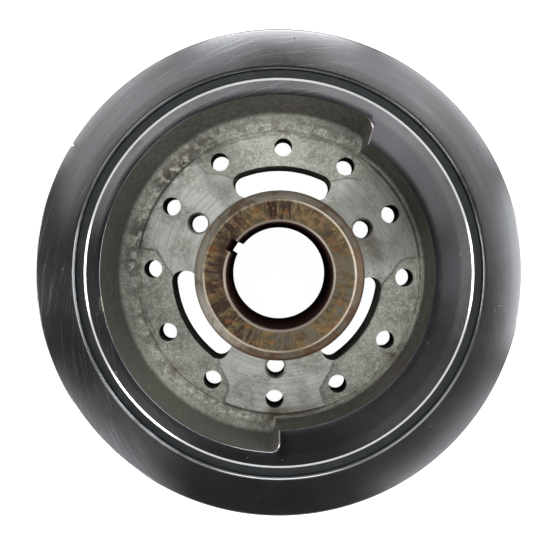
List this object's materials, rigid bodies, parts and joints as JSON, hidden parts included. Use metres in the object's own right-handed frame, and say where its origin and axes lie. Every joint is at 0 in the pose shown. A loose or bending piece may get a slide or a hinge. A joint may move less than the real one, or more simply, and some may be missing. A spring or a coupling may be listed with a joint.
{
  "type": "crankshaft vibration damper",
  "caption": "Heavy round crankshaft damper: a keyed, counterweighted cast hub, bonded by a rubber ring to an outer inertia ring that twists slightly on it.",
  "frame": {"origin": "on the bore axis, in the plane of the inertia ring's front face, which is the face the part lies on", "axes": "+Z along the bore axis, towards the engine, through the keyed boss; seen from +Z the keyway is 147.7 degrees counter-clockwise from +X"},
  "size_m": [0.2032, 0.2032, 0.071],
  "materials": {
    "hub_iron": "sand cast, with the rim, pads and boss turned",
    "elastomer": "moulded, matte",
    "ring_iron": "fine turned, semi-polished"
  },
  "bodies": {
    "hub": {"counterweight_hub": "hub_iron", "elastomer_ring": "elastomer"},
    "ring": {"inertia_ring": "ring_iron"}
  },
  "joints": [
    {"name": "ring_twist", "type": "hinge", "parent": "hub", "child": "ring", "pos_m": [0, 0, 0.019], "axis": [0, 0, 1], "range_deg": [-1, 1], "stiffness_Nm_per_rad": 3280}
  ]
}
